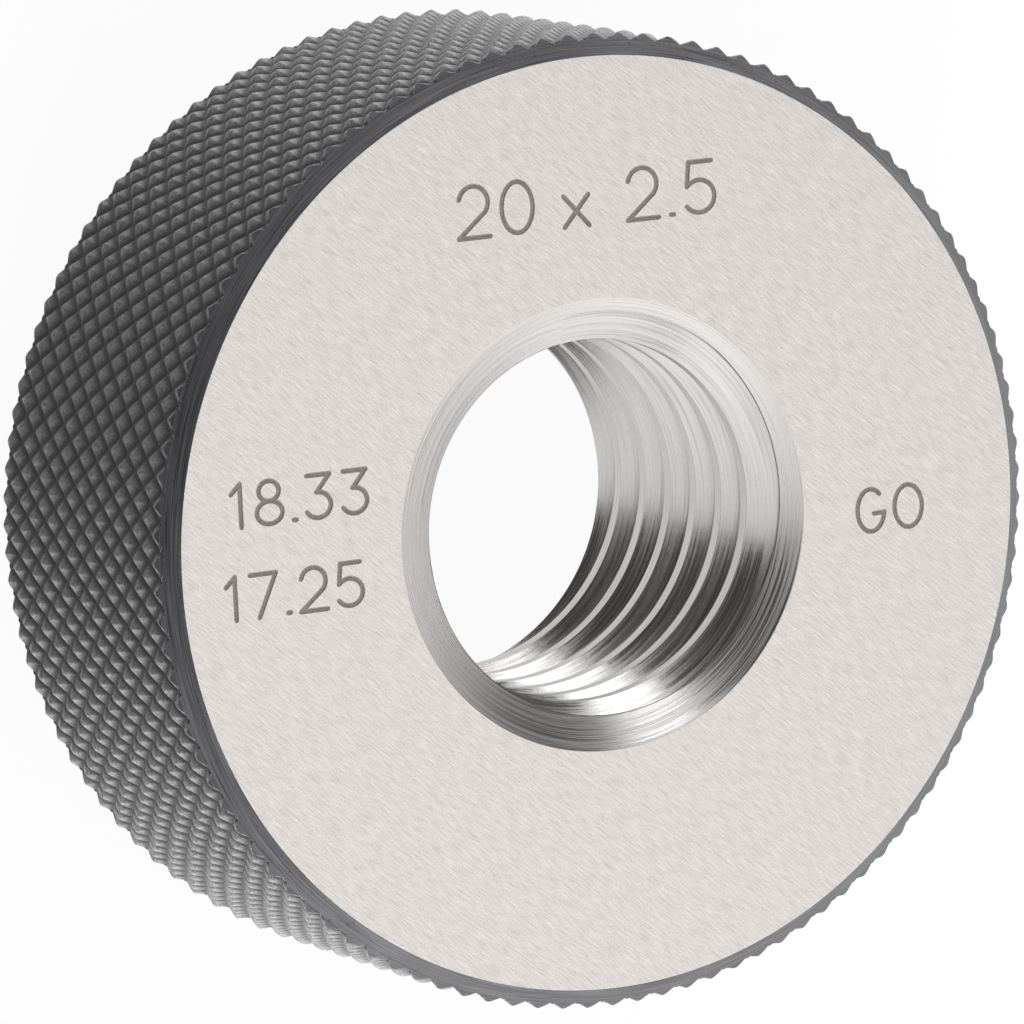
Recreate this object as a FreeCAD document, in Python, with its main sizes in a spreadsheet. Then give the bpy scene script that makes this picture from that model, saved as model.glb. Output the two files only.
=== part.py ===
import FreeCAD, Part
import Sketcher
import os
from math import ceil, cos, pi, radians, sin, tan

# A solid GO ring gauge for M20 x 2.5 threads, made in one piece of hardened tool steel. The ring lies
# on its back face at z = 0 with the marked face up, and the thread runs along +Z through the origin.
# The outside is knurled, both rims are chamfered, and the thread's two mouths are countersunk.

doc = FreeCAD.newDocument("ring_gauge")

# The driving sizes, in millimetres and degrees.
SIZES = (
    ("outside_diameter", 46.0, "over the tips of the knurl"),
    ("ring_width", 18.0, "from the back face to the marked face"),
    ("face_diameter", 44.0, "of the ground flat face, inside the rim's chamfer"),
    ("rim_chamfer_length", 0.85, "along the axis, from the face to the knurl's tips"),
    ("thread_diameter", 20.0, "at the bottom of the thread's groove"),
    ("thread_pitch", 2.5, "from one turn to the next"),
    ("thread_angle", 60.0, "between the two flanks of the groove"),
    ("thread_start_angle", 134.0, "where the groove's middle meets the marked face, from +X"),
    ("countersink_diameter", 21.4, "where the countersink meets the face"),
    ("countersink_angle", 120.0, "the full angle of the cone"),
    ("knurl_pitch", 1.13, "straight across from one ridge to the next"),
    ("knurl_helix_angle", 33.5, "between the ridges and the axis"),
    ("knurl_depth", 0.3, "from the pyramids' tips to the bottom of the grooves"),
)
sheet = doc.addObject("Spreadsheet::Sheet", "Sizes")
for row, (alias, value, note) in enumerate(SIZES, start=1):
    sheet.set(f"A{row}", alias)
    sheet.set(f"B{row}", str(value))
    sheet.set(f"C{row}", note)
    sheet.setAlias(f"B{row}", alias)
doc.recompute()

# The basic profile of a metric thread: crests cut off at an eighth of the pitch on the outside and a
# quarter on the inside, which leaves five eighths of the sharp V's height.
ROOT_RADIUS = "Sizes.thread_diameter / 2"
THREAD_DEPTH = "5 / 16 * Sizes.thread_pitch / tan(Sizes.thread_angle / 2)"
CREST_RADIUS = f"({ROOT_RADIUS} - {THREAD_DEPTH})"
HALF_ROOT_FLAT = "Sizes.thread_pitch / 16"

FACE_RADIUS = "Sizes.face_diameter / 2"
TIP_RADIUS = "Sizes.outside_diameter / 2"
SINK_RADIUS = "Sizes.countersink_diameter / 2"
SINK_DEPTH = f"(({SINK_RADIUS} - {CREST_RADIUS}) / tan(Sizes.countersink_angle / 2))"


def origin_plane(body, role):
    """Return the plane of the body's origin that has this role."""
    return next(item for item in body.Origin.OriginFeatures if item.Role == role)


def draw_section(body, name, corners):
    """Draw a closed outline on the body's XZ plane, its corners given as radius and height."""
    sketch = body.newObject("Sketcher::SketchObject", name)
    sketch.AttachmentSupport = [(origin_plane(body, "XZ_Plane"), "")]
    sketch.MapMode = "FlatFace"
    count = len(corners)
    rough = [FreeCAD.Vector(cos(2 * pi * k / count), sin(2 * pi * k / count), 0) for k in range(count)]
    for k in range(count):
        sketch.addGeometry(Part.LineSegment(rough[k], rough[(k + 1) % count]))
    for k, (corner, radius, height) in enumerate(corners):
        sketch.addConstraint(Sketcher.Constraint("Coincident", k - 1 if k else count - 1, 2, k, 1))
        for kind, axis_name, size in (("DistanceX", "radius", radius), ("DistanceY", "height", height)):
            index = sketch.addConstraint(Sketcher.Constraint(kind, -1, 1, k, 1, 1.0))
            label = f"{corner}_{axis_name}"
            sketch.renameConstraint(index, label)
            sketch.setExpression(f"Constraints.{label}", size)
    return sketch


def knurled_bar(tip_radius, depth, length, pitch, helix_angle):
    """Return a bar whose side is covered by small pyramids, at least as long as the ring is wide.

    Two sets of V grooves cross at the helix angle, one to each side of the axis, and leave a pyramid in
    each diamond. In every row the pyramids' tips alternate with the points where two grooves cross, and
    the next row is turned by half a pyramid.
    """
    across = ceil(2 * pi * tip_radius * cos(radians(helix_angle)) / pitch)
    half_turn = pi / across
    row_height = tip_radius * half_turn / tan(radians(helix_angle))
    rows = ceil(length / row_height) + 1
    lowest = (length - rows * row_height) / 2

    # The points of a row are numbered around it, so that even numbers plus the row's own number are
    # crossings and odd ones are tips.
    points = []
    for row in range(rows + 1):
        for step in range(2 * across):
            radius = tip_radius if (step + row) % 2 else tip_radius - depth
            angle = step * half_turn
            points.append(FreeCAD.Vector(radius * cos(angle), radius * sin(angle), lowest + row * row_height))
    below = len(points)
    points.append(FreeCAD.Vector(0, 0, lowest))
    above = len(points)
    points.append(FreeCAD.Vector(0, 0, lowest + rows * row_height))

    def point(row, step):
        return row * 2 * across + step % (2 * across)

    facets = []
    for row in range(rows + 1):
        for tip in range((row + 1) % 2, 2 * across, 2):
            if row < rows:
                facets.append((point(row, tip), point(row, tip + 1), point(row + 1, tip)))
                facets.append((point(row, tip), point(row + 1, tip), point(row, tip - 1)))
            if row > 0:
                facets.append((point(row, tip), point(row, tip - 1), point(row - 1, tip)))
                facets.append((point(row, tip), point(row - 1, tip), point(row, tip + 1)))
    for step in range(2 * across):
        facets.append((below, point(0, step + 1), point(0, step)))
        facets.append((above, point(rows, step), point(rows, step + 1)))

    skin = Part.Shape()
    skin.makeShapeFromMesh((points, facets), 1e-5)
    return Part.makeSolid(skin.Shells[0])


# The turned ring: its section with both rim chamfers and both countersinks, and the bore at the
# thread's crests. The chamfers run on past the knurl's tips, because the knurl makes the outside. It is
# turned as two halves that meet over the Y axis, and their faces stay apart, so that each crest of the
# thread is a row of half turns.
turned = doc.addObject("PartDesign::Body", "turned_ring")
OVERRUN_RADIUS = f"({TIP_RADIUS} + Sizes.knurl_depth)"
OVERRUN_DEPTH = (
    f"Sizes.rim_chamfer_length * ({OVERRUN_RADIUS} - {FACE_RADIUS}) / ({TIP_RADIUS} - {FACE_RADIUS})"
)
section = draw_section(
    turned,
    "ring_section",
    (
        ("back_sink", CREST_RADIUS, SINK_DEPTH),
        ("back_mouth", SINK_RADIUS, "0"),
        ("back_rim", FACE_RADIUS, "0"),
        ("back_overrun", OVERRUN_RADIUS, OVERRUN_DEPTH),
        ("front_overrun", OVERRUN_RADIUS, f"Sizes.ring_width - {OVERRUN_DEPTH}"),
        ("front_rim", FACE_RADIUS, "Sizes.ring_width"),
        ("front_mouth", SINK_RADIUS, "Sizes.ring_width"),
        ("front_sink", CREST_RADIUS, f"Sizes.ring_width - {SINK_DEPTH}"),
    ),
)
turning = turned.newObject("PartDesign::Revolution", "turning")
turning.Profile = section
turning.ReferenceAxis = (section, ["V_Axis"])
turning.Angle = 180.0
turning.Midplane = True
turning.Refine = False
doc.recompute()

halves = turned.newObject("PartDesign::Mirrored", "halves")
halves.Originals = [turning]
halves.MirrorPlane = (origin_plane(turned, "YZ_Plane"), [""])
halves.Refine = False
turned.Tip = halves
doc.recompute()

# The thread: a right-hand V groove with a flat bottom, cut from below the back face to above the
# marked face. Its section starts an eighth of the pitch inside the bore, so that it cuts clean.
INNER_RADIUS = f"({CREST_RADIUS} - Sizes.thread_pitch / 8)"
HALF_MOUTH = f"({HALF_ROOT_FLAT} + ({ROOT_RADIUS} - {INNER_RADIUS}) * tan(Sizes.thread_angle / 2))"
TURNS_IN_RING = "ceil(Sizes.ring_width / Sizes.thread_pitch)"
groove = draw_section(
    turned,
    "groove_section",
    (
        ("inner_low", INNER_RADIUS, f"-{HALF_MOUTH}"),
        ("root_low", ROOT_RADIUS, f"-{HALF_ROOT_FLAT}"),
        ("root_high", ROOT_RADIUS, HALF_ROOT_FLAT),
        ("inner_high", INNER_RADIUS, HALF_MOUTH),
    ),
)
groove.setExpression(
    "AttachmentOffset.Base.y",
    f"Sizes.ring_width - (Sizes.thread_start_angle / 360 + {TURNS_IN_RING} + 2) * Sizes.thread_pitch",
)
thread = turned.newObject("PartDesign::SubtractiveHelix", "thread")
thread.Profile = groove
thread.ReferenceAxis = (groove, ["V_Axis"])
thread.Mode = "pitch-height-angle"
thread.Angle = 0.0
thread.Growth = 0.0
thread.LeftHanded = False
thread.Reversed = False
thread.Refine = False
thread.setExpression("Pitch", "Sizes.thread_pitch")
thread.setExpression("Height", f"({TURNS_IN_RING} + 4) * Sizes.thread_pitch")
doc.recompute()

# The knurled bar that the ring is turned from.
bar = doc.addObject("Part::Feature", "knurled_bar")
bar.Shape = knurled_bar(
    sheet.outside_diameter / 2,
    sheet.knurl_depth,
    sheet.ring_width,
    sheet.knurl_pitch,
    sheet.knurl_helix_angle,
)

# The finished gauge is what the knurled bar and the turned ring have in common.
gauge = doc.addObject("Part::Common", "gauge_ring")
gauge.Label = "gauge_ring"
gauge.Base = turned
gauge.Tool = bar
gauge.Refine = False
gauge.Placement = FreeCAD.Placement()
doc.recompute()

for item in doc.Objects:
    if "Invalid" in item.State or "Error" in item.State:
        raise RuntimeError(f"{item.Label} failed: {item.State}")
if gauge.Shape.isNull() or not gauge.Shape.isValid() or len(gauge.Shape.Solids) != 1:
    raise RuntimeError("the gauge isn't one valid solid")

os.makedirs("parts", exist_ok=True)
gauge.Shape.exportStep(f"parts/{gauge.Label}.step")

size = gauge.Shape.optimalBoundingBox()
print(f"{gauge.Label}: {size.XLength:.2f} x {size.YLength:.2f} x {size.ZLength:.2f} mm,")
print(f"{gauge.Shape.Volume:.0f} mm3, {len(gauge.Shape.Faces)} faces")
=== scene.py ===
from math import ceil, cos, pi, radians, sin, tan

import bpy
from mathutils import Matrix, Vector


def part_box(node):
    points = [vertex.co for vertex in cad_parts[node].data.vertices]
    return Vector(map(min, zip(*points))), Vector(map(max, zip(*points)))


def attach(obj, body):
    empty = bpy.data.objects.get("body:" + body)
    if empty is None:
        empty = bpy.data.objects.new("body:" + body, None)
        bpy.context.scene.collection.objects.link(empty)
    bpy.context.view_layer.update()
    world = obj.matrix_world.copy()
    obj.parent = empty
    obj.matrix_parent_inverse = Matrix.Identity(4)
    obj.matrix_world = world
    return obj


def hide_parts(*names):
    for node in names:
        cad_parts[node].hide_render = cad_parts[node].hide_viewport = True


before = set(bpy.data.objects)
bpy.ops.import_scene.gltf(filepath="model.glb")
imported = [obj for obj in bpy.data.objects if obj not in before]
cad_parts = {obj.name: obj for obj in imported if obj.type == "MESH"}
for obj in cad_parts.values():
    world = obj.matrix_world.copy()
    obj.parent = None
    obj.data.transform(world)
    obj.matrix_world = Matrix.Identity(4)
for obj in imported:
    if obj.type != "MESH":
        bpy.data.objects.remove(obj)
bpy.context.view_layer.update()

# The knurled bar. The gauge starts as a bar of tool steel whose side was pressed between two knurling
# wheels, which leaves rows of small pyramids between crossing V grooves. Everything is modelled in
# millimetres, and made metres once the ring is finished.
MM = 0.001
low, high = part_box("gauge_ring")
ring_width = (high[2] - low[2]) / MM
tip_radius = (high[0] - low[0]) / MM / 2
KNURL_DEPTH = 0.3
KNURL_ANGLE = radians(33.5)
PYRAMIDS_AROUND = 107
BAR_OVERRUN = 0.5
half_across = pi * tip_radius / PYRAMIDS_AROUND
row_height = half_across / tan(KNURL_ANGLE)
# A pyramid's side in steps, each as how far in and how far up: the groove's floor, the flank, the tip.
PYRAMID_STEPS = ((0.03, 0.018), (0.40, 0.247), (0.07, 0.035))
HIP_ROUNDING = 0.045
MERGE_DISTANCE = 0.001
# The black is thin in spots, worn towards the tips, and deepest near the floors of the grooves. There the
# colour also carries painted shade, which darkens the groove floors towards near black on top of the darker
# oxide. The wear is given by its depth below the tips, where it starts and where it is full. The painted
# groove shade is given by its height above the groove floors, where it is full and where it ends.
FILM_SPOT = 0.16
WEAR_START = 0.20
WEAR_FULL = 0.06
GROOVE_SHADE_FULL = 0.01
GROOVE_SHADE_END = 0.13
GROOVE_OXIDE_AND_SHADE = (0.012, 0.012, 0.013, 1)
BLACK_OXIDE = (0.09, 0.09, 0.092, 1)
THIN_OXIDE = (0.23, 0.228, 0.226, 1)
WORN_OXIDE = (0.44, 0.435, 0.43, 1)


def deselect_all():
    bpy.ops.object.select_all(action="DESELECT")


def pick(*pieces):
    """Make these the only selected objects, and the first one active."""
    deselect_all()
    for piece in pieces:
        piece.select_set(True)
    bpy.context.view_layer.objects.active = pieces[0]


def apply_modifiers(piece):
    pick(piece)
    for modifier in list(piece.modifiers):
        bpy.ops.object.modifier_apply(modifier=modifier.name)


def select_where(piece, kind, wanted):
    """Go to edit mode with only those edges or polygons selected whose corners are wanted."""
    pick(piece)
    bpy.ops.object.mode_set(mode="EDIT")
    bpy.ops.mesh.select_mode(type="EDGE" if kind == "edges" else "FACE")
    bpy.ops.mesh.select_all(action="DESELECT")
    bpy.ops.object.mode_set(mode="OBJECT")
    points = piece.data.vertices
    for item in getattr(piece.data, kind):
        item.select = wanted([points[k].co for k in item.vertices])
    bpy.ops.object.mode_set(mode="EDIT")


def array(piece, name, count, step):
    modifier = piece.modifiers.new(name, "ARRAY")
    modifier.count = count
    modifier.use_relative_offset = False
    modifier.use_constant_offset = True
    modifier.constant_offset_displace = step
    modifier.use_merge_vertices = True
    modifier.merge_threshold = MERGE_DISTANCE


def add_node(tree, kind, values=None, **settings):
    """Add a node, set its properties, and give its inputs their values or their links."""
    node = tree.nodes.new(kind)
    for name, value in settings.items():
        setattr(node, name, value)
    for name, value in (values or {}).items():
        if isinstance(value, bpy.types.NodeSocket):
            tree.links.new(value, node.inputs[name])
        else:
            node.inputs[name].default_value = value
    return node


def calculate(tree, operation, *values):
    return add_node(tree, "ShaderNodeMath", dict(enumerate(values)), operation=operation).outputs[0]


def millimetres(tree):
    """The piece's own coordinates in millimetres."""
    place = add_node(tree, "ShaderNodeTexCoord")
    return add_node(tree, "ShaderNodeMapping", {0: place.outputs["Object"], 3: (1000, 1000, 1000)}).outputs[0]


def out_from_axis(tree, place):
    """This place without its height, as a vector straight out from the ring's axis."""
    flatten = {0: place, 1: (1, 1, 0)}
    return add_node(tree, "ShaderNodeVectorMath", flatten, operation="MULTIPLY").outputs[0]


def distance_out(tree, outward):
    return add_node(tree, "ShaderNodeVectorMath", {0: outward}, operation="LENGTH").outputs["Value"]


def noise(tree, place, scale, detail, roughness):
    values = {"Vector": place, "Scale": scale, "Detail": detail, "Roughness": roughness}
    return add_node(tree, "ShaderNodeTexNoise", values).outputs["Fac"]


def spread(tree, value, from_low, from_high, to_low=0.0, to_high=1.0):
    values = {0: value, 1: from_low, 2: from_high, 3: to_low, 4: to_high}
    return add_node(tree, "ShaderNodeMapRange", values).outputs[0]


def blend_colours(tree, share, first, second):
    mix = add_node(tree, "ShaderNodeMix", data_type="RGBA")
    for socket, value in ((mix.inputs[0], share), (mix.inputs[6], first), (mix.inputs[7], second)):
        if isinstance(value, bpy.types.NodeSocket):
            tree.links.new(value, socket)
        else:
            socket.default_value = value
    return mix.outputs[2]


def bump(tree, height, distance, normal=None):
    """A normal that follows this height, whose full range is the given distance in metres."""
    values = {"Height": height, "Strength": 1.0, "Distance": distance}
    if normal:
        values["Normal"] = normal
    return add_node(tree, "ShaderNodeBump", values).outputs[0]


def new_group(name, inputs, outputs):
    """Start a shader node group with float inputs, given with their usual values."""
    tree = bpy.data.node_groups.new(name, "ShaderNodeTree")
    for label, value in inputs.items():
        tree.interface.new_socket(label, in_out="INPUT", socket_type="NodeSocketFloat").default_value = value
    for label, kind in outputs.items():
        tree.interface.new_socket(label, in_out="OUTPUT", socket_type=kind)
    return tree, tree.nodes.new("NodeGroupInput"), tree.nodes.new("NodeGroupOutput")


def use_group(tree, group, **values):
    node = tree.nodes.new("ShaderNodeGroup")
    node.node_tree = group
    for label, value in values.items():
        node.inputs[label].default_value = value
    return node.outputs


def new_material(name, **values):
    material = bpy.data.materials.new(name)
    material.use_nodes = True
    shader = material.node_tree.nodes["Principled BSDF"]
    for label, value in values.items():
        shader.inputs[label.replace("_", " ")].default_value = value
    return material, material.node_tree, shader


# Broken edges: where an edge is, and a normal that rolls over it. The radius is in metres.
broken_edges, given, result = new_group(
    "broken edges", {"Radius": 0.00003}, {"Edge": "NodeSocketFloat", "Normal": "NodeSocketVector"}
)
rolled = add_node(broken_edges, "ShaderNodeBevel", {"Radius": given.outputs["Radius"]}, samples=6)
flat = add_node(broken_edges, "ShaderNodeNewGeometry")
both = {0: rolled.outputs[0], 1: flat.outputs["Normal"]}
alike = add_node(broken_edges, "ShaderNodeVectorMath", both, operation="DOT_PRODUCT").outputs["Value"]
broken_edges.links.new(spread(broken_edges, alike, 0.995, 0.90), result.inputs["Edge"])
broken_edges.links.new(rolled.outputs[0], result.inputs["Normal"])

# Patches: the uneven film that a chemical finish leaves, in spots of a given size in millimetres.
patches, given, result = new_group("patches", {"Size": 0.3}, {"Patches": "NodeSocketFloat"})
per_millimetre = calculate(patches, "DIVIDE", 1.0, given.outputs["Size"])
spots = noise(patches, millimetres(patches), per_millimetre, 4.0, 0.65)
patches.links.new(spots, result.inputs["Patches"])

knurl_finish, tree, shader = new_material("blackened_knurl", IOR=1.35)
edges = use_group(tree, broken_edges, Radius=0.00005)
film = use_group(tree, patches, Size=FILM_SPOT)["Patches"]
radius = distance_out(tree, out_from_axis(tree, millimetres(tree)))
worn_tip = spread(tree, radius, tip_radius - WEAR_START, tip_radius - WEAR_FULL)
worn = calculate(tree, "MULTIPLY", worn_tip, spread(tree, film, 0.30, 0.60))
floor_radius = tip_radius - KNURL_DEPTH
# Painted shade: the colour darkens towards the groove floors, together with the darker oxide there.
oxide_and_shade_in_groove = spread(tree, radius, floor_radius + GROOVE_SHADE_FULL, floor_radius + GROOVE_SHADE_END, 1.0, 0.0)
oxide = blend_colours(tree, spread(tree, film, 0.3, 0.7), BLACK_OXIDE, THIN_OXIDE)
oxide = blend_colours(tree, worn, oxide, WORN_OXIDE)
oxide = blend_colours(tree, oxide_and_shade_in_groove, oxide, GROOVE_OXIDE_AND_SHADE)
tree.links.new(oxide, shader.inputs["Base Color"])
tree.links.new(spread(tree, film, 0.25, 0.75, 0.18, 0.30), shader.inputs["Roughness"])
tree.links.new(bump(tree, film, 0.000012, edges["Normal"]), shader.inputs["Normal"])

deselect_all()
bpy.ops.mesh.primitive_circle_add(
    vertices=4, radius=1, fill_type="NGON", location=(0, 0, 0), rotation=(radians(90), 0, 0)
)
bar = bpy.context.object
bar.name = "knurled_bar"
bar.scale = (half_across, row_height, 1)
bpy.ops.object.transform_apply(location=True, rotation=True, scale=True)
bpy.ops.object.mode_set(mode="EDIT")
bpy.ops.mesh.select_all(action="SELECT")
for inward, upward in PYRAMID_STEPS:
    bpy.ops.mesh.inset(thickness=inward, depth=upward, use_even_offset=True)
bpy.ops.object.mode_set(mode="OBJECT")

# The four hips of the pyramid are slightly round. They lie over its two diagonals.
groove_floor_top = PYRAMID_STEPS[0][1]


def on_a_hip(corners):
    raised = all(c.y < -0.9 * groove_floor_top for c in corners)
    across = all(abs(c.x) < MERGE_DISTANCE for c in corners)
    along = all(abs(c.z) < MERGE_DISTANCE for c in corners)
    return raised and (across or along)


select_where(bar, "edges", on_a_hip)
bpy.ops.mesh.bevel(offset=HIP_ROUNDING, segments=1, affect="EDGES")
bpy.ops.object.mode_set(mode="OBJECT")

# Two sets of rows, the second between the first, cover a flat sheet that is as long as the bar's girth.
rows_below = ceil((ring_width / 2 + BAR_OVERRUN) / (2 * row_height))
first_column = -(PYRAMIDS_AROUND - 1) * half_across
bar.location = (first_column, KNURL_DEPTH, ring_width / 2 - rows_below * 2 * row_height)
bpy.ops.object.transform_apply(location=True)
array(bar, "columns", PYRAMIDS_AROUND, (2 * half_across, 0, 0))
array(bar, "rows", 2 * rows_below + 1, (0, 0, 2 * row_height))
apply_modifiers(bar)
bpy.ops.object.duplicate()
rows_between = bpy.context.object
rows_between.location = (half_across, 0, row_height)
bpy.ops.object.transform_apply(location=True)
pick(bar, rows_between)
bpy.ops.object.join()

# The sheet is rolled up, and the bar is sawn off a little longer than the ring.
roll = bar.modifiers.new("roll", "SIMPLE_DEFORM")
roll.deform_method = "BEND"
roll.deform_axis = "Z"
roll.angle = bar.dimensions.x / tip_radius
apply_modifiers(bar)
bar.location = (0, -tip_radius, 0)
bpy.ops.object.transform_apply(location=True)
bar.rotation_euler = (0, 0, radians(90))
bpy.ops.object.transform_apply(rotation=True)
bpy.ops.object.mode_set(mode="EDIT")
bpy.ops.mesh.select_all(action="SELECT")
bpy.ops.mesh.remove_doubles(threshold=2 * MERGE_DISTANCE)
for height, upward in ((ring_width + BAR_OVERRUN, 1), (-BAR_OVERRUN, -1)):
    bpy.ops.mesh.select_all(action="SELECT")
    bpy.ops.mesh.bisect(
        plane_co=(0, 0, height), plane_no=(0, 0, upward), use_fill=True, clear_outer=True, threshold=1e-5
    )
bpy.ops.mesh.select_all(action="SELECT")
bpy.ops.mesh.normals_make_consistent(inside=False)
bpy.ops.object.mode_set(mode="OBJECT")
bar.data.materials.append(knurl_finish)

# The turned ring. The bar is faced, both rims are chamfered, and the bore is turned to the thread's
# crests with a countersink at each mouth. The flat faces are then ground, which takes the black off.
AROUND = 240
FACE_RADIUS = 22.0
CHAMFER_LENGTH = 0.85
SINK_RADIUS = 10.7
SINK_ANGLE = radians(120)
THREAD_PITCH = 2.5
HALF_THREAD_ANGLE = radians(30)
ROOT_RADIUS = 10.0
crest_radius = ROOT_RADIUS - 5 / 16 * THREAD_PITCH / tan(HALF_THREAD_ANGLE)
sink_depth = (SINK_RADIUS - crest_radius) / tan(SINK_ANGLE / 2)
overrun_radius = tip_radius + KNURL_DEPTH
overrun_depth = CHAMFER_LENGTH * (overrun_radius - FACE_RADIUS) / (tip_radius - FACE_RADIUS)

# Turning lines: fine grooves that run round the axis. Spacing is across them, and Run is how many of
# them there are, end to end, for each radian.
turning_lines, given, result = new_group(
    "turning lines", {"Spacing": 0.06, "Run": 1.5}, {"Lines": "NodeSocketFloat"}
)
place = millimetres(turning_lines)
height = add_node(turning_lines, "ShaderNodeSeparateXYZ", {0: place}).outputs["Z"]
outward = out_from_axis(turning_lines, place)
radius = distance_out(turning_lines, outward)
heading = add_node(turning_lines, "ShaderNodeVectorMath", {0: outward}, operation="NORMALIZE").outputs[0]
run = {0: heading, 3: given.outputs["Run"]}
heading = add_node(turning_lines, "ShaderNodeVectorMath", run, operation="SCALE").outputs[0]
# Across the lines, height counts a little too, so that they also show along a straight bore.
across = calculate(turning_lines, "MULTIPLY_ADD", height, 0.37, radius)
across = calculate(turning_lines, "DIVIDE", across, given.outputs["Spacing"])
lift = add_node(turning_lines, "ShaderNodeCombineXYZ", {2: across}).outputs[0]
wound = add_node(turning_lines, "ShaderNodeVectorMath", {0: heading, 1: lift}, operation="ADD").outputs[0]
turning_lines.links.new(noise(turning_lines, wound, 1.0, 2.0, 0.6), result.inputs["Lines"])

# The ground faces: short straight scratches from the grinding wheel, in three directions close together.
# Each set of scratches is given as its direction in degrees, how wide they are and how long.
SCRATCHES = ((33, 0.055, 0.8), (41, 0.05, 1.2), (49, 0.06, 0.8))
DULL_STEEL = (0.60, 0.57, 0.548, 1)
BRIGHT_STEEL = (0.82, 0.78, 0.75, 1)
ground_finish, tree, shader = new_material("ground_steel", Metallic=1.0)
place = millimetres(tree)
strokes = []
for turn, width, length in SCRATCHES:
    turned = add_node(tree, "ShaderNodeMapping", {0: place, 2: (0, 0, radians(turn))}).outputs[0]
    stretched = add_node(tree, "ShaderNodeMapping", {0: turned, 3: (1 / length, 1 / width, 1)}).outputs[0]
    strokes.append(noise(tree, stretched, 1.0, 1.0, 0.5))
hatch = noise(tree, place, 12.0, 1.0, 0.5)
for stroke in strokes:
    hatch = calculate(tree, "ADD", hatch, stroke)
hatch = spread(tree, hatch, 1.55, 2.45)
steel = blend_colours(tree, hatch, DULL_STEEL, BRIGHT_STEEL)
tree.links.new(steel, shader.inputs["Base Color"])
tree.links.new(spread(tree, hatch, 0, 1, 0.42, 0.30), shader.inputs["Roughness"])
tree.links.new(bump(tree, hatch, 0.000002), shader.inputs["Normal"])

# The rims' chamfers: turned before the ring was blackened, so that the lines show through the black.
# Where they cut the knurl, the edge has lost its black in places. These bare places are painted near white, a
# painted glint brighter than the bare steel itself.
LINE_BLACK = (0.036, 0.036, 0.040, 1)
LINE_GREY = (0.135, 0.133, 0.142, 1)
BARE_EDGE_AND_GLINT = (0.95, 0.94, 0.93, 1)
rim_finish, tree, shader = new_material("blackened_rim", IOR=1.6)
edges = use_group(tree, broken_edges, Radius=0.00004)
lines = use_group(tree, turning_lines, Spacing=0.03, Run=6.0)["Lines"]
film = use_group(tree, patches, Size=0.2)["Patches"]
oxide = blend_colours(tree, spread(tree, lines, 0.35, 0.65), LINE_BLACK, LINE_GREY)
# Painted highlight: the bare edge spots are bare steel, painted near white as the glint they catch.
bare_and_glint = calculate(tree, "MULTIPLY", edges["Edge"], spread(tree, film, 0.47, 0.55))
oxide = blend_colours(tree, bare_and_glint, oxide, BARE_EDGE_AND_GLINT)
tree.links.new(oxide, shader.inputs["Base Color"])
tree.links.new(spread(tree, film, 0.25, 0.75, 0.24, 0.38), shader.inputs["Roughness"])
tree.links.new(bump(tree, lines, 0.000004), shader.inputs["Normal"])

# The countersinks and the bore: bright, with turning lines.
TURNED_DARK = (0.56, 0.54, 0.53, 1)
TURNED_BRIGHT = (0.82, 0.795, 0.78, 1)
sink_finish, tree, shader = new_material("turned_steel", Metallic=1.0)
edges = use_group(tree, broken_edges, Radius=0.00008)
lines = use_group(tree, turning_lines, Spacing=0.06, Run=1.0)["Lines"]
steel = blend_colours(tree, spread(tree, lines, 0.35, 0.65), TURNED_DARK, TURNED_BRIGHT)
tree.links.new(steel, shader.inputs["Base Color"])
tree.links.new(spread(tree, lines, 0.35, 0.65, 0.18, 0.46), shader.inputs["Roughness"])
tree.links.new(bump(tree, lines, 0.000010, edges["Normal"]), shader.inputs["Normal"])

deselect_all()
bpy.ops.mesh.primitive_cylinder_add(
    vertices=AROUND,
    radius=overrun_radius,
    depth=ring_width - 2 * overrun_depth,
    location=(0, 0, ring_width / 2),
)
ring = bpy.context.object
ring.name = "ring"
bpy.ops.object.transform_apply(location=True)
for end in (0, 1):
    end_height = overrun_depth + end * (ring_width - 2 * overrun_depth)
    select_where(
        ring, "polygons", lambda corners: all(abs(c.z - end_height) < MERGE_DISTANCE for c in corners)
    )
    bpy.ops.mesh.inset(thickness=overrun_radius - FACE_RADIUS, depth=overrun_depth)
    bpy.ops.mesh.inset(thickness=FACE_RADIUS - SINK_RADIUS, depth=0)
    bpy.ops.mesh.inset(thickness=SINK_RADIUS - crest_radius, depth=-sink_depth)
    bpy.ops.object.mode_set(mode="OBJECT")


def across_the_bore(corners):
    return len(corners) == AROUND and max(c.xy.length for c in corners) < crest_radius + 0.01


select_where(ring, "polygons", across_the_bore)
bpy.ops.mesh.bridge_edge_loops()
bpy.ops.mesh.select_all(action="SELECT")
bpy.ops.mesh.normals_make_consistent(inside=False)
bpy.ops.object.mode_set(mode="OBJECT")

for finish in (ground_finish, rim_finish, sink_finish):
    ring.data.materials.append(finish)
for face in ring.data.polygons:
    from_axis = face.center.xy.length
    if abs(face.normal.z) > 0.99:
        face.material_index = 0
    elif from_axis > FACE_RADIUS:
        face.material_index = 1
    else:
        face.material_index = 2

# The thread's groove: a V with a flat bottom, wound to the right from below the back face to above the
# marked one. It is cut into the steel and lapped, and the tool's marks run along it.
THREAD_START = radians(134)
TURNS = ceil(ring_width / THREAD_PITCH) + 3
STEPS_PER_TURN = 160
groove_inner = crest_radius - THREAD_PITCH / 8
half_root = THREAD_PITCH / 16
half_mouth = half_root + (ROOT_RADIUS - groove_inner) * tan(HALF_THREAD_ANGLE)
groove_start = ring_width - THREAD_PITCH * (THREAD_START / (2 * pi) + ceil(ring_width / THREAD_PITCH) + 1)

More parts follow.
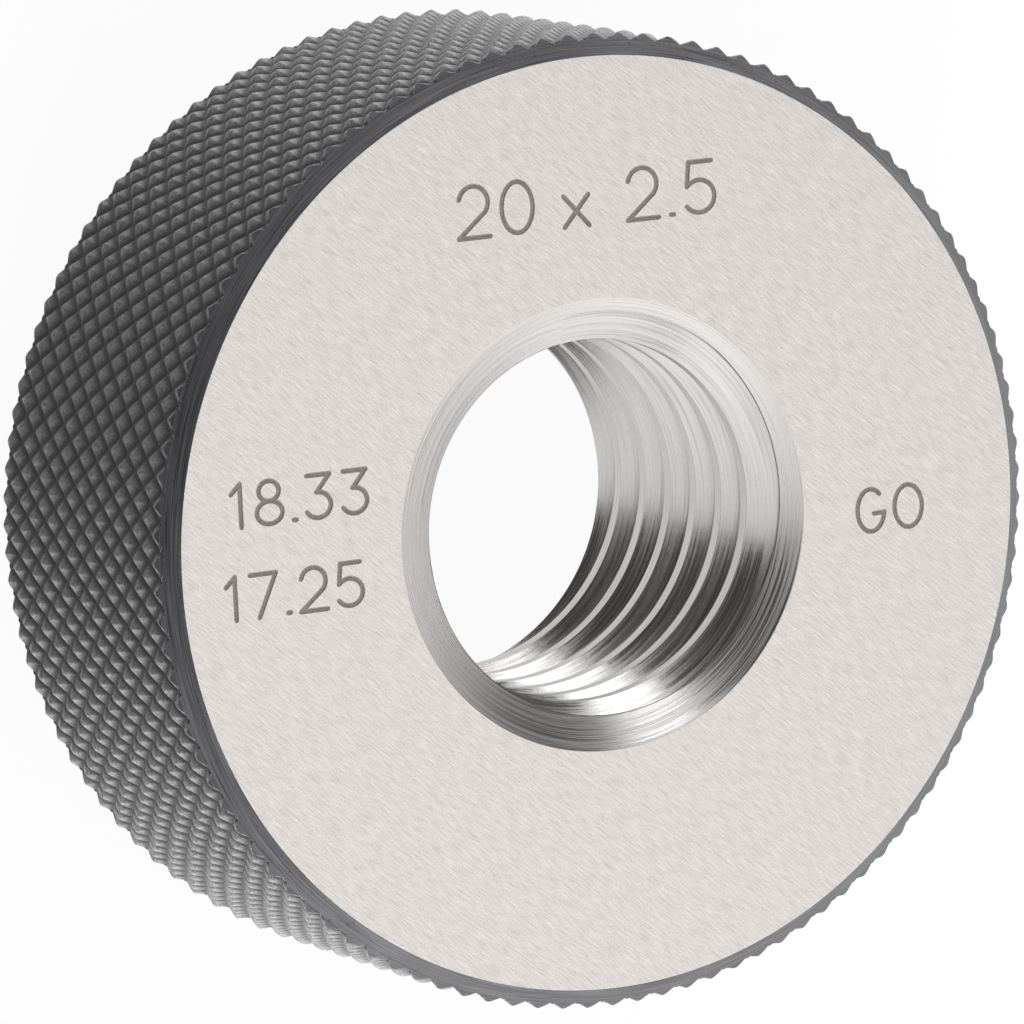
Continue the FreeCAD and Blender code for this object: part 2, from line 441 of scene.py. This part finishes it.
LAPPED_DARK = (0.50, 0.48, 0.47, 1)
LAPPED_BRIGHT = (0.74, 0.72, 0.71, 1)
thread_finish, tree, shader = new_material("lapped_thread", Metallic=1.0)
lines = use_group(tree, turning_lines, Spacing=0.12, Run=1.2)["Lines"]
steel = blend_colours(tree, spread(tree, lines, 0.35, 0.65), LAPPED_DARK, LAPPED_BRIGHT)
tree.links.new(steel, shader.inputs["Base Color"])
tree.links.new(spread(tree, lines, 0.3, 0.7, 0.14, 0.36), shader.inputs["Roughness"])
tree.links.new(bump(tree, lines, 0.000003), shader.inputs["Normal"])

deselect_all()
bpy.ops.mesh.primitive_plane_add(size=2, location=(0, 0, 0), rotation=(radians(90), 0, 0))
groove = bpy.context.object
groove.name = "thread_groove"
bpy.ops.object.transform_apply(rotation=True)
for vertex in groove.data.vertices:
    outer = vertex.co.x > 0
    side = 1 if vertex.co.z > 0 else -1
    vertex.co.x = ROOT_RADIUS if outer else groove_inner
    vertex.co.z = groove_start + side * (half_root if outer else half_mouth)
screw = groove.modifiers.new("screw", "SCREW")
screw.steps = STEPS_PER_TURN
screw.render_steps = STEPS_PER_TURN
screw.screw_offset = THREAD_PITCH
screw.iterations = TURNS
screw.use_smooth_shade = True
apply_modifiers(groove)
bpy.ops.object.mode_set(mode="EDIT")
bpy.ops.mesh.select_mode(type="EDGE")
bpy.ops.mesh.select_all(action="DESELECT")
bpy.ops.mesh.select_non_manifold()
bpy.ops.mesh.edge_face_add()
bpy.ops.mesh.select_all(action="SELECT")
bpy.ops.mesh.normals_make_consistent(inside=False)
bpy.ops.object.mode_set(mode="OBJECT")
groove.data.materials.append(thread_finish)

# The marks on the ground face: plain numbers for the thread's size, its pitch and its diameters, and
# the word that says which way the gauge is used. They are cut with a round-nosed engraving tool.
ENGRAVING_TOOL = 0.22
ENGRAVING_DEPTH = 0.05
ARC_STEP = radians(15)


def arc(centre, across, up, start, end):
    """Points on an oval, from one angle to another in degrees, anticlockwise where the end is larger."""
    count = max(2, ceil(abs(radians(end - start)) / ARC_STEP))
    angles = [radians(start + (end - start) * k / count) for k in range(count + 1)]
    return [(centre[0] + across * cos(a), centre[1] + up * sin(a)) for a in angles]


# Each character is drawn in a box that is 1 high, as its width and its strokes. Strokes that touch
# come one after the other.
CHARACTERS = {
    "0": (0.68, (arc((0.34, 0.5), 0.34, 0.5, 0, 360),)),
    "1": (0.40, ([(0.28, 0), (0.28, 1)], [(0.28, 1), (0.05, 0.78)])),
    "2": (0.68, (arc((0.34, 0.68), 0.32, 0.32, 165, -38) + [(0.0, 0.0)], [(0.0, 0.0), (0.68, 0.0)])),
    "3": (0.66, (
        [(0.04, 1), (0.62, 1)],
        [(0.62, 1), (0.28, 0.60)],
        arc((0.30, 0.30), 0.33, 0.30, 95, -150),
    )),
    "5": (0.66, (
        [(0.60, 1), (0.10, 1)],
        [(0.10, 1), (0.05, 0.56)],
        arc((0.31, 0.32), 0.34, 0.32, 140, -145),
    )),
    "7": (0.66, ([(0.0, 1), (0.66, 1)], [(0.66, 1), (0.20, 0.0)])),
    "8": (0.68, (arc((0.34, 0.765), 0.26, 0.235, -90, 270), arc((0.34, 0.265), 0.33, 0.265, 90, 450))),
    ".": (0.06, ([(0.0, 0.02), (0.06, 0.02)],)),
    "x": (0.54, ([(0.0, 0.60), (0.54, 0.0)], [(0.0, 0.0), (0.54, 0.60)])),
    "G": (0.70, (arc((0.36, 0.5), 0.36, 0.5, 48, 352), [(0.715, 0.42), (0.44, 0.42)])),
    "O": (0.74, (arc((0.37, 0.5), 0.37, 0.5, 0, 360),)),
}
# Each row as its characters, where its first one starts, how high it is, and the gap to the next one.
ROWS = (
    ("20", (-6.9, 14.15), 2.4, 0.65),
    ("x", (-1.35, 14.15), 2.4, 0.65),
    ("2.5", (2.0, 14.15), 2.4, 0.65),
    ("18.33", (-19.4, 2.04), 2.0, 0.55),
    ("17.25", (-19.9, -2.23), 2.0, 0.55),
    ("GO", (13.57, -1.95), 2.03, 0.6),
)

BURNT_DARK = (0.15, 0.130, 0.120, 1)
BURNT_LIGHT = (0.32, 0.29, 0.275, 1)
engraved_finish, tree, shader = new_material("engraved_marks", IOR=1.5, Roughness=0.55)
film = use_group(tree, patches, Size=0.07)["Patches"]
burnt = blend_colours(tree, spread(tree, film, 0.3, 0.7), BURNT_DARK, BURNT_LIGHT)
tree.links.new(burnt, shader.inputs["Base Color"])
tree.links.new(bump(tree, film, 0.00001), shader.inputs["Normal"])


def add_stroke(curve, points):
    """Lay the engraving tool's path along these points, with round ends unless they close."""
    closed = (Vector(points[0]) - Vector(points[-1])).length < MERGE_DISTANCE
    path = [(Vector(p), 1.0) for p in points]
    if closed:
        path.pop()
    else:
        for end, inner in ((0, 1), (-1, -2)):
            tip = Vector(points[end])
            outward = (tip - Vector(points[inner])).normalized()
            rounding = [
                (tip + outward * ENGRAVING_TOOL * sin(radians(a)), cos(radians(a))) for a in (30, 60, 86)
            ]
            path = rounding[::-1] + path if end == 0 else path + rounding
    spline = curve.splines.new("POLY")
    spline.points.add(len(path) - 1)
    spline.use_cyclic_u = closed
    for point, (spot, width) in zip(spline.points, path):
        point.co = (spot.x, spot.y, ring_width + ENGRAVING_TOOL - ENGRAVING_DEPTH, 1)
        point.radius = width


# Strokes that touch are cut one after the other, so they take turns between two passes of the tool.
passes = []
for number in (0, 1):
    curve = bpy.data.curves.new(f"engraving_{number}", "CURVE")
    curve.dimensions = "3D"
    curve.bevel_depth = ENGRAVING_TOOL
    curve.bevel_resolution = 3
    curve.use_fill_caps = True
    passes.append(curve)
for text, (left, base), height, gap in ROWS:
    for character in text:
        width, strokes = CHARACTERS[character]
        for number, stroke in enumerate(strokes):
            add_stroke(passes[number % 2], [(left + px * height, base + py * height) for px, py in stroke])
        left += width * height + gap
engravings = []
for curve in passes:
    engraving = bpy.data.objects.new(curve.name, curve)
    bpy.context.collection.objects.link(engraving)
    pick(engraving)
    bpy.ops.object.convert(target="MESH")
    bpy.ops.object.mode_set(mode="EDIT")
    bpy.ops.mesh.select_all(action="SELECT")
    bpy.ops.mesh.remove_doubles(threshold=MERGE_DISTANCE / 2)
    bpy.ops.mesh.normals_make_consistent(inside=False)
    bpy.ops.object.mode_set(mode="OBJECT")
    engraving = bpy.context.object
    engraving.data.materials.clear()
    engraving.data.materials.append(engraved_finish)
    engravings.append(engraving)


# The finished gauge: the thread is cut, the marks are engraved, and what the turned ring and the
# knurled bar have in common stays.
def cut(piece, tool, operation):
    modifier = piece.modifiers.new("cut", "BOOLEAN")
    modifier.operation = operation
    modifier.solver = "MANIFOLD"
    modifier.material_mode = "TRANSFER"
    modifier.object = tool
    apply_modifiers(piece)
    pick(tool)
    bpy.ops.object.delete()


cut(ring, groove, "DIFFERENCE")
for engraving in engravings:
    cut(ring, engraving, "DIFFERENCE")
cut(ring, bar, "INTERSECT")

ring.scale = (MM, MM, MM)
pick(ring)
bpy.ops.object.transform_apply(scale=True)
# The countersink meets the face at 30 degrees, so the edges stay crisp from a little less on.
bpy.ops.object.shade_smooth_by_angle(angle=radians(28))
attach(ring, "root")
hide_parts("gauge_ring")

# The studio: a pale floor under the ring, soft light from boxes round it, and the camera. The floor is
# almost white to the camera by itself, and a little less so in the steel's reflections. The rest of it
# takes the light and the ring's shadow, and is dark to the light that it would throw back at the ring.
SEEN_WHITE = 0.94
MIRRORED_WHITE = 0.8
PAPER_WHITE = (0.9, 0.9, 0.9, 1)
THROWN_BACK = (0.08, 0.08, 0.08, 1)
FLOOR_GAP = 0.0002
deselect_all()
bpy.ops.mesh.primitive_plane_add(size=4, location=(0, 0, -FLOOR_GAP))
floor = bpy.context.object
floor.name = "floor"
pale, tree, shader = new_material("pale_floor", Roughness=0.9)
ray = add_node(tree, "ShaderNodeLightPath").outputs
mirrored = calculate(tree, "ADD", ray["Is Glossy Ray"], ray["Is Transmission Ray"])
mirrored = calculate(tree, "MULTIPLY", mirrored, MIRRORED_WHITE)
shown = calculate(tree, "MULTIPLY_ADD", ray["Is Camera Ray"], SEEN_WHITE, mirrored)
paper = blend_colours(tree, ray["Is Camera Ray"], THROWN_BACK, PAPER_WHITE)
tree.links.new(paper, shader.inputs["Base Color"])
white = add_node(tree, "ShaderNodeEmission", {"Color": (1, 1, 1, 1), "Strength": 1.0})
mixed = add_node(tree, "ShaderNodeMixShader", {0: shown, 1: shader.outputs[0], 2: white.outputs[0]})
tree.links.new(mixed.outputs[0], tree.nodes["Material Output"].inputs["Surface"])
floor.data.materials.append(pale)

# The room round the floor: pale low down in front and to the right, half as pale low down behind, and
# dim elsewhere. Its directions run from -1 to 1 along each axis.
DIM = 0.07
world = bpy.data.worlds.new("studio")
bpy.context.scene.world = world
world.use_nodes = True
tree = world.node_tree
direction = add_node(tree, "ShaderNodeTexCoord").outputs["Generated"]
x, y, z = add_node(tree, "ShaderNodeSeparateXYZ", {0: direction}).outputs
by_side = spread(tree, calculate(tree, "MULTIPLY_ADD", x, -0.3, y), -0.4, 0.2, 1.15, 0.08)
by_side = calculate(tree, "MULTIPLY", by_side, spread(tree, x, -0.8, -0.1, 0.15, 1.0))
in_front = calculate(tree, "MULTIPLY", by_side, spread(tree, z, 0.40, 0.65, 1.0, 0.0))
behind = calculate(tree, "MULTIPLY", spread(tree, y, 0.2, 0.6), spread(tree, x, 0.0, 0.4, 0.5, 0.0))
behind = calculate(tree, "MULTIPLY_ADD", behind, spread(tree, z, 0.55, 0.68, 1.0, 0.0), DIM)
level = calculate(tree, "ADD", in_front, behind)
tree.links.new(level, tree.nodes["Background"].inputs["Strength"])
tree.nodes["Background"].inputs["Color"].default_value = (1, 1, 1, 1)

# The boxes and lamps stand round the ring at one distance. Each is given as its direction, its width
# and height in metres, and how bright it is, where 1 is a white sheet in plain light.
BOX_DISTANCE = 0.45
SOFTBOXES = (
    ("main_box", (0.10, -0.395, 0.905), 0.86, 0.56, 1.03),
    ("small_box", (0.22, 0.68, 0.70), 0.16, 0.12, 3.0),
)
LOW_LAMPS = (
    ("front_lamp", (-0.12, -0.96, 0.20), 0.20, 0.20, 20.0),
    ("back_lamp", (0.62, 0.75, 0.20), 0.20, 0.20, 14.0),
)


def softbox(name, toward, width, height, brightness):
    """Add an area lamp in this direction, facing the ring."""
    place = Vector(toward).normalized() * BOX_DISTANCE
    facing = place.to_track_quat("Z", "Y").to_euler()
    deselect_all()
    bpy.ops.object.light_add(type="AREA", location=place, rotation=facing)
    lamp = bpy.context.object
    lamp.name = name
    lamp.data.shape = "RECTANGLE"
    lamp.data.size = width
    lamp.data.size_y = height
    lamp.data.energy = brightness * pi * width * height
    return lamp


for box in SOFTBOXES:
    softbox(*box)
# The low lamps draw the knurl. They are hidden from reflections, so that nothing mirrors them.
for box in LOW_LAMPS:
    lamp = softbox(*box)
    lamp.visible_glossy = False

deselect_all()
bpy.ops.object.camera_add(
    location=(-0.21650, 0.07084, 0.42630),
    rotation=(radians(-7.1556), radians(-27.7879), radians(-3.1504)),
)
camera = bpy.context.object
camera.data.lens = 351.56
camera.data.sensor_width = 36
bpy.context.scene.camera = camera
bpy.context.scene.view_settings.view_transform = "Standard"
